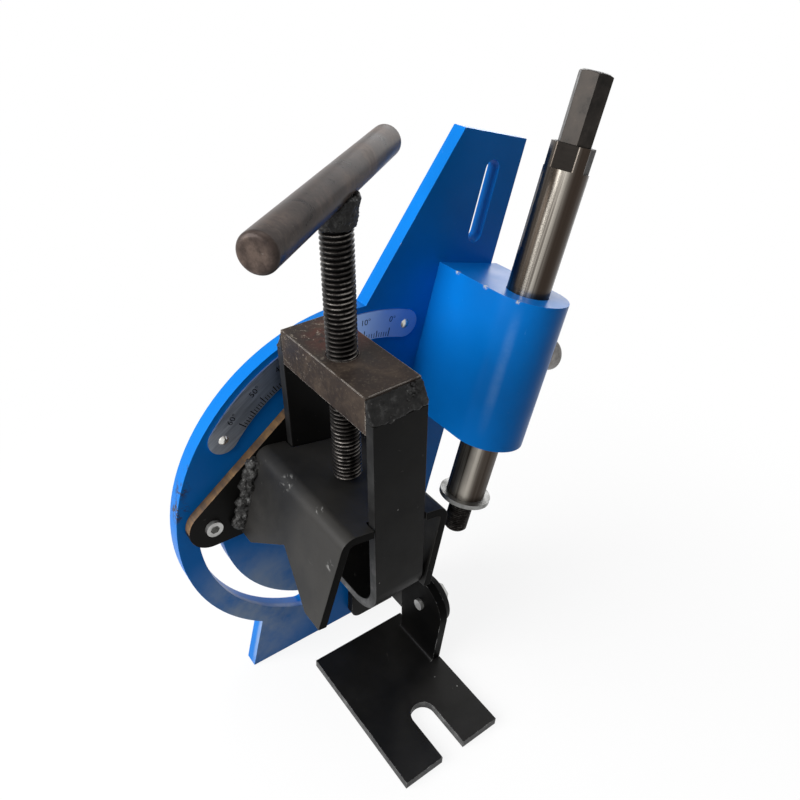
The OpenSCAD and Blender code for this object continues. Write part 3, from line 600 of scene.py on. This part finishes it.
def dress(node, body, slot, width, material, *zones, segments=2):
    """Copy of a CAD node with rounded edges, which stands for it. A zone is a material and a test
    of a face's normal and centre in millimetres. The first zone whose test holds gives the face
    its material."""
    mesh = NODES[node].data.copy()
    mesh.name = node + "_dressed"
    bm = bmesh.new()
    bm.from_mesh(mesh)
    bmesh.ops.remove_doubles(bm, verts=bm.verts, dist=2e-6)
    bmesh.ops.dissolve_limit(bm, angle_limit=math.radians(0.4), verts=bm.verts, edges=bm.edges)
    bm.normal_update()
    sharp = [e for e in bm.edges if len(e.link_faces) == 2 and e.calc_face_angle() > math.radians(32)]
    for f in bm.faces:
        centre = f.calc_center_median() / MM
        hits = [k for k, zone in enumerate(zones) if zone[1](f.normal, centre)]
        f.material_index = hits[0] + 1 if hits else 0
    bmesh.ops.bevel(bm, geom=sharp, offset=width * MM, segments=segments, profile=0.5,
                    affect="EDGES", clamp_overlap=True, material=-1)
    for f in bm.faces:
        f.smooth = True
    bm.to_mesh(mesh)
    bm.free()
    mesh.set_sharp_from_angle(angle=math.radians(50))
    o = add_piece(node + "_dressed", mesh, body, slot, material, *[zone[0] for zone in zones])
    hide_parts(node)
    weighted(o)


def thread_mesh(at, low, high, major, minor, pitch, steps=28):
    """Right-hand thread along local z between two heights, with a rounded crest and open ends."""
    shape = [(0.00, minor), (0.12, minor), (0.38, major - 0.12), (0.44, major), (0.56, major),
             (0.62, major - 0.12), (0.88, minor), (1.00, minor)]
    turns = (high - low) / pitch + 1
    count = int(turns * steps)
    bm = bmesh.new()
    rows = []
    for i in range(count + 1):
        a = 2 * math.pi * i / steps
        z0 = low - pitch + pitch * i / steps
        row = []
        for t, r in shape:
            z = z0 + t * pitch
            if z < low:
                z, r = low, minor
            if z > high:
                z, r = high, minor
            row.append(bm.verts.new(at @ Vector((r * math.cos(a), r * math.sin(a), z))))
        rows.append(row)
    for p, q in zip(rows, rows[1:]):
        for j in range(len(shape) - 1):
            bm.faces.new((p[j], q[j], q[j + 1], p[j + 1]))
    bmesh.ops.remove_doubles(bm, verts=bm.verts, dist=1e-6)
    return bm


def lathe(bm, at, profile, steps=48):
    """Turns a profile of (radius, height) about local z and adds it to the mesh."""
    rings = []
    for r, z in profile:
        if r < 1e-6:
            rings.append([bm.verts.new(at @ Vector((0, 0, z)))])
        else:
            rings.append([bm.verts.new(at @ Vector((r * math.cos(2 * math.pi * k / steps),
                                                    r * math.sin(2 * math.pi * k / steps), z)))
                          for k in range(steps)])
    for p, q in zip(rings, rings[1:]):
        for k in range(steps):
            n = (k + 1) % steps
            if len(p) == 1:
                bm.faces.new((p[0], q[n], q[k]))
            elif len(q) == 1:
                bm.faces.new((p[k], p[n], q[0]))
            else:
                bm.faces.new((p[k], p[n], q[n], q[k]))


def mesh_of(bm, name, angle=40):
    """Finished mesh, smooth but for edges sharper than an angle in degrees."""
    mesh = bpy.data.meshes.new(name)
    bmesh.ops.recalc_face_normals(bm, faces=bm.faces)
    for f in bm.faces:
        f.smooth = True
    bm.to_mesh(mesh)
    bm.free()
    mesh.set_sharp_from_angle(angle=math.radians(angle))
    return mesh


def melt(mesh, name, voxel, ease):
    """A mesh melted into one skin of small faces, its points eased a number of times."""
    o = bpy.data.objects.new(name + "_melt", mesh)
    bpy.context.scene.collection.objects.link(o)
    m = o.modifiers.new("melt", "REMESH")
    m.mode = "VOXEL"
    m.voxel_size = voxel * MM
    e = o.modifiers.new("ease", "SMOOTH")
    e.factor = 0.5
    e.iterations = ease
    depsgraph = bpy.context.evaluated_depsgraph_get()
    melted = bpy.data.meshes.new_from_object(o.evaluated_get(depsgraph))
    bpy.data.objects.remove(o)
    melted.name = name
    return melted


def roughen(mesh, swell, lumps):
    """Moves the points in and out by three layers of noise, lumps being the coarsest layer's scale
    per millimetre."""
    for v in mesh.vertices:
        at = v.co / MM * lumps
        lump = noise.noise(at) + 0.6 * noise.noise(at * 2.7) + 0.3 * noise.noise(at * 6.1)
        v.co += v.normal * (swell * (0.35 + lump)) * MM
    for f in mesh.polygons:
        f.use_smooth = True
        f.material_index = 0


def bead(name, at, blobs):
    """Rough weld bead: balls along the seam, melted together."""
    bm = bmesh.new()
    for place, r in blobs:
        bmesh.ops.create_icosphere(bm, subdivisions=2, radius=r, matrix=Matrix.Translation(place))
    for v in bm.verts:
        v.co += v.normal * 0.5 * noise.noise(v.co * 0.55)
    bm.transform(at)
    balls = bpy.data.meshes.new(name + "_balls")
    bm.to_mesh(balls)
    bm.free()
    mesh = melt(balls, name, 0.55, 2)
    roughen(mesh, 0.9, 0.42)
    return mesh


def rough_weld(node, body, material, swell, lumps, flat_back=False):
    """Copy of a CAD weld, melted into a rough bead, which stands for it. A flat back stays as far
    forward as the CAD weld's, for a neighbour that it slides past."""
    back = max(v.co.y for v in NODES[node].data.vertices)
    mesh = melt(NODES[node].data.copy(), node + "_rough", 0.5, 4)
    roughen(mesh, swell, lumps)
    if flat_back:
        for v in mesh.vertices:
            v.co.y = min(v.co.y, back)
    piece = add_piece(node + "_rough", mesh, body, "weld_metal", material)
    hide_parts(node)


def jitter(k, seed, size):
    """A fixed small offset for ball k of a row."""
    return size * noise.noise(Vector((k * 1.73 + seed, seed * 2.31, k * 0.37)))


# Blue plate and bearing block
dress("angle_plate", "swing_plate", "blue_paint", 0.6, BLUE)
dress("bearing_block", "swing_plate", "blue_paint", 0.7, BLUE)

# Black sheet parts and the bar across the yoke
# The foot's upright and its other faces that are not top or bottom edges take the painted shade black
dress("bench_foot", "base", "black_paint", 0.6, SHADE_BLACK,
      (BARE_EDGE, lambda n, c: c.z < 6.1 and abs(n.z) < 0.5),
      (FOOT_BLACK, lambda n, c: abs(n.z) > 0.8 and c.z < 12))
dress("swivel_lug", "clamp_frame", "black_paint", 0.5, LUG_BLACK)
dress("pivot_plate", "clamp_frame", "black_paint", 0.4, BLACK,
      (CUT_EDGE, lambda n, c: abs(n.y) < 0.5 and n.z > 0.1 and c.z > 138))
# The saddle's faces that point forward or back take the painted shade black
dress("v_saddle", "clamp_frame", "black_paint", 0.5, SADDLE_BLACK,
      (SHADE_BLACK, lambda n, c: abs(n.y) > 0.9))
dress("yoke_strap", "yoke", "black_paint", 0.5, BLACK, (BARE_EDGE, lambda n, c: abs(n.x) > 0.7))
dress("yoke_nut_block", "yoke", "raw_iron", 0.6, BLOCK)

# Drill's hexagon
dress("drive_hex", "arbor", "black_oxide", 0.5, OXIDE, segments=3)

# Nodes that keep their CAD shape
for part in ("upper_bush", "lower_bush"):
    paint_node(part, BRONZE)
for part in ("swivel_washer", "pivot_washer", "lock_washer", "block_washers",
             "swivel_bolt", "pivot_screw", "pivot_nut", "lock_stud", "lock_nut", "block_bolts"):
    paint_node(part, ZINC)
paint_node("thrust_washer", DULL_ZINC)
paint_node("scale_rivets", BRIGHT)
paint_node("grease_cup", CUP)
paint_node("t_handle", HANDLE)
paint_node("angle_scale", SCALE)
paint_node("arbor_shaft", SHAFT)

# Clamp screw with its thread
SCREW_TIP = 1.22
SCREW_TOP = 159.2
THREAD_LOW = SCREW_TIP + 3
THREAD_TOP = 147.5
SCREW_MAJOR = 7.95
SCREW_MINOR = 6.45
SCREW_SHANK = 7.9
SCREW_PITCH = 2.5
bm = thread_mesh(AT_SCREW, THREAD_LOW, THREAD_TOP, SCREW_MAJOR, SCREW_MINOR, SCREW_PITCH)
lathe(bm, AT_SCREW, [(0, SCREW_TIP), (3.5, SCREW_TIP), (5.6, SCREW_TIP + 1.0),
                     (SCREW_MINOR, THREAD_LOW)])
lathe(bm, AT_SCREW, [(SCREW_MINOR, THREAD_TOP), (SCREW_SHANK, THREAD_TOP + 1.2),
                     (SCREW_SHANK, SCREW_TOP), (0, SCREW_TOP)])
screw_mesh = mesh_of(bm, "clamp_screw_threaded", 55)
screw = add_piece("clamp_screw_threaded", screw_mesh, "screw", "black_oxide", SCREW_STEEL)
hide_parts("clamp_screw")

# Saw stud with its thread and collar
STUD_LOW = -20.6
STUD_TOP = 30
STUD_MAJOR = 7.94
STUD_MINOR = 7.1
STUD_PITCH = 1.41
STUD_TAPER = 1.5
COLLAR_LOW = 1.9
COLLAR_TOP = 4.9
COLLAR_R = 11
COLLAR_BEVEL = 0.5
bm = thread_mesh(AT_ARBOR, STUD_LOW + STUD_TAPER, COLLAR_LOW, STUD_MAJOR, STUD_MINOR, STUD_PITCH)
lathe(bm, AT_ARBOR, [(0, STUD_LOW), (6.4, STUD_LOW), (STUD_MINOR, STUD_LOW + STUD_TAPER)])
lathe(bm, AT_ARBOR, [(STUD_MINOR, COLLAR_LOW), (COLLAR_R - COLLAR_BEVEL, COLLAR_LOW),
                     (COLLAR_R, COLLAR_LOW + COLLAR_BEVEL), (COLLAR_R, COLLAR_TOP - COLLAR_BEVEL),
                     (COLLAR_R - COLLAR_BEVEL, COLLAR_TOP), (STUD_MAJOR, COLLAR_TOP),
                     (STUD_MAJOR, STUD_TOP), (0, STUD_TOP)])
stud_mesh = mesh_of(bm, "saw_stud_threaded", 45)
stud = add_piece("saw_stud_threaded", stud_mesh, "arbor", "black_oxide", OXIDE)
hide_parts("saw_stud")

# Weld beads: on each flange of the saddle a row of large balls and one of small ones
SADDLE_HALF = 27
SADDLE_BEND = 8
BALLS = 30
BALL_STEP = 1.5
blobs = []
for side, flare in ((-1, SADDLE_FLARE), (1, 0.0)):
    for k in range(BALLS):
        down = 2 + BALL_STEP * k
        out = SADDLE_HALF + SADDLE_BEND * math.cos(flare) + down * math.sin(flare)
        out = out + 1.8 + jitter(k, 3 + side, 2.6)
        z = -SADDLE_BEND + SADDLE_BEND * math.sin(flare) - down * math.cos(flare)
        large = (side * out, -7.2 + jitter(k, 9 + side, 1.6), z)
        small = (side * (out - 1.8), -9.4 + jitter(k, 13 + side, 1.6), z)
        blobs.append((large, 3.3 + jitter(k, 5 + side, 1.4)))
        blobs.append((small, 1.8 + jitter(k, 17 + side, 1.2)))
saddle_mesh = bead("saddle_bead", AT_SADDLE, blobs)
weld = add_piece("saddle_bead", saddle_mesh, "clamp_frame", "weld_metal", WELD)
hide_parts("saddle_welds")
rough_weld("yoke_welds", "yoke", DARK_WELD, 1.2, 0.12, flat_back=True)
rough_weld("handle_weld", "screw", DARK_WELD, 0.9, 0.30)

# Degree marks and numbers, just in front of the scale's face
INK_Y = -1.03
TICK_R = 101.1
NUMBER_R = 112.1
NUMBER_SIZE = 5.2
LAST_DEGREE = 60
bm = bmesh.new()
for degree in range(LAST_DEGREE + 1):
    a = math.radians(90 + degree)
    length = 5.6 if degree % 10 == 0 else 4.4 if degree % 5 == 0 else 3.0
    wide = 0.30 if degree % 5 == 0 else 0.22
    out = Vector((math.cos(a), 0, math.sin(a)))
    side = Vector((-math.sin(a), 0, math.cos(a)))
    base = Vector((0, INK_Y, 0))
    box = ((TICK_R, -wide), (TICK_R + length, -wide), (TICK_R + length, wide), (TICK_R, wide))
    bm.faces.new([bm.verts.new(AT_PLATE @ (out * r + side * w + base)) for r, w in box])
add_piece("scale_ticks", mesh_of(bm, "scale_ticks"), "swing_plate", "scale_aluminium", INK)
for degree in range(0, LAST_DEGREE + 1, 10):
    curve = bpy.data.curves.new("number", "FONT")
    curve.body = "%d°" % degree
    curve.align_x = "CENTER"
    curve.align_y = "CENTER"
    curve.size = NUMBER_SIZE
    label = bpy.data.objects.new("number", curve)
    bpy.context.scene.collection.objects.link(label)
    turned = AT_PLATE @ Matrix.Rotation(-math.radians(degree), 4, "Y")
    label.matrix_world = (turned @ Matrix.Translation((0.6, INK_Y, NUMBER_R))
                          @ Matrix.Rotation(math.pi / 2, 4, "X"))
    bpy.context.view_layer.update()
    flat = bpy.data.meshes.new_from_object(label.evaluated_get(bpy.context.evaluated_depsgraph_get()))
    flat.transform(label.matrix_world)
    bpy.data.objects.remove(label)
    add_piece("scale_number_%d" % degree, flat, "swing_plate", "scale_aluminium", INK)


# Floor, light and camera

def white_rays(tree):
    """1 for the rays that see a white background: from the camera, by reflection or through glass."""
    path = tree.nodes.new("ShaderNodeLightPath")
    value = path.outputs["Is Camera Ray"]
    for kind in ("Is Glossy Ray", "Is Transmission Ray"):
        most = tree.nodes.new("ShaderNodeMath")
        most.operation = "MAXIMUM"
        tree.links.new(value, most.inputs[0])
        tree.links.new(path.outputs[kind], most.inputs[1])
        value = most.outputs[0]
    return value


def new_node(tree, kind, **values):
    """A shader node with values on its inputs."""
    n = tree.nodes.new(kind)
    for key, value in values.items():
        n.inputs[key.replace("_", " ")].default_value = value
    return n


def choose(tree, share, a, b):
    """Mixes two shaders by a share of the second."""
    n = tree.nodes.new("ShaderNodeMixShader")
    tree.links.new(share, n.inputs[0])
    tree.links.new(a.outputs[0], n.inputs[1])
    tree.links.new(b.outputs[0], n.inputs[2])
    return n


WHITE = rgb(1, 1, 1)
FLOOR_HALF = 60
FLOOR_DROP = 0.0004
scene = bpy.context.scene
corners = [(x * FLOOR_HALF, y * FLOOR_HALF, 0) for x, y in ((-1, -1), (1, -1), (1, 1), (-1, 1))]
floor_mesh = bpy.data.meshes.new("floor")
floor_mesh.from_pydata(corners, [], [(0, 1, 2, 3)])
floor = bpy.data.objects.new("floor", floor_mesh)
floor.location.z = -FLOOR_DROP
scene.collection.objects.link(floor)

# The floor looks white, with a light shadow near the part, and throws back the light of grey paper
floor_paint = bpy.data.materials.new("floor")
floor_paint.use_nodes = True
t = floor_paint.node_tree
t.nodes.clear()
paper = new_node(t, "ShaderNodeBsdfDiffuse", Color=rgb(0.30, 0.30, 0.30))
glow = new_node(t, "ShaderNodeEmission", Color=WHITE)
seen_paper = new_node(t, "ShaderNodeBsdfDiffuse", Color=WHITE)
far = new_node(t, "ShaderNodeVectorMath")
far.operation = "LENGTH"
t.links.new(t.nodes.new("ShaderNodeTexCoord").outputs["Object"], far.inputs[0])
share = new_node(t, "ShaderNodeMapRange", From_Min=0.12, From_Max=0.55, To_Min=0.86, To_Max=1.0)
share.interpolation_type = "SMOOTHSTEP"
t.links.new(far.outputs["Value"], share.inputs["Value"])
seen = choose(t, share.outputs[0], seen_paper, glow)
blend = choose(t, white_rays(t), paper, seen)
t.links.new(blend.outputs[0], t.nodes.new("ShaderNodeOutputMaterial").inputs[0])
floor_mesh.materials.append(floor_paint)

world = bpy.data.worlds.new("studio")
scene.world = world
world.use_nodes = True
t = world.node_tree
t.nodes.clear()
ambient = new_node(t, "ShaderNodeBackground", Color=WHITE, Strength=0.12)
white = new_node(t, "ShaderNodeBackground", Color=WHITE, Strength=1.0)
blend = choose(t, white_rays(t), ambient, white)
t.links.new(blend.outputs[0], t.nodes.new("ShaderNodeOutputWorld").inputs[0])


def lamp(name, place, size, power, target=(0, 0.05, 0.15)):
    """Round soft lamp that points at the middle of the part."""
    data = bpy.data.lights.new(name, "AREA")
    data.shape = "DISK"
    data.size = size
    data.energy = power
    o = bpy.data.objects.new(name, data)
    o.location = place
    o.rotation_euler = (Vector(target) - Vector(place)).to_track_quat("-Z", "Y").to_euler()
    scene.collection.objects.link(o)


lamp("left_key", (-1.58, 0.25, 1.00), 1.6, 48, (0, 0.04, 0.15))
lamp("top_soft", (0.0, 0.1, 2.0), 1.4, 10)
lamp("back_soft", (1.50, 1.15, 0.62), 1.2, 9)
lamp("front_fill", (-1.62, -0.98, 0.9), 1.4, 3.0)

# Photograph's camera: place in millimetres, turn about Z, tilt from straight down and roll
camera = bpy.data.objects.new("camera", bpy.data.cameras.new("camera"))
scene.collection.objects.link(camera)
camera.data.lens = 31.58
camera.data.sensor_width = 36.0
camera.data.clip_start = 0.01
camera.data.dof.use_dof = False
camera.matrix_world = (Matrix.Translation(Vector((-195.9, -223.4, 438.5)) * MM)
                       @ Matrix.Rotation(math.radians(-38.62), 4, "Z")
                       @ Matrix.Rotation(math.radians(56.76), 4, "X")
                       @ Matrix.Rotation(math.radians(3.30), 4, "Z"))
scene.camera = camera
scene.view_settings.view_transform = "Standard"
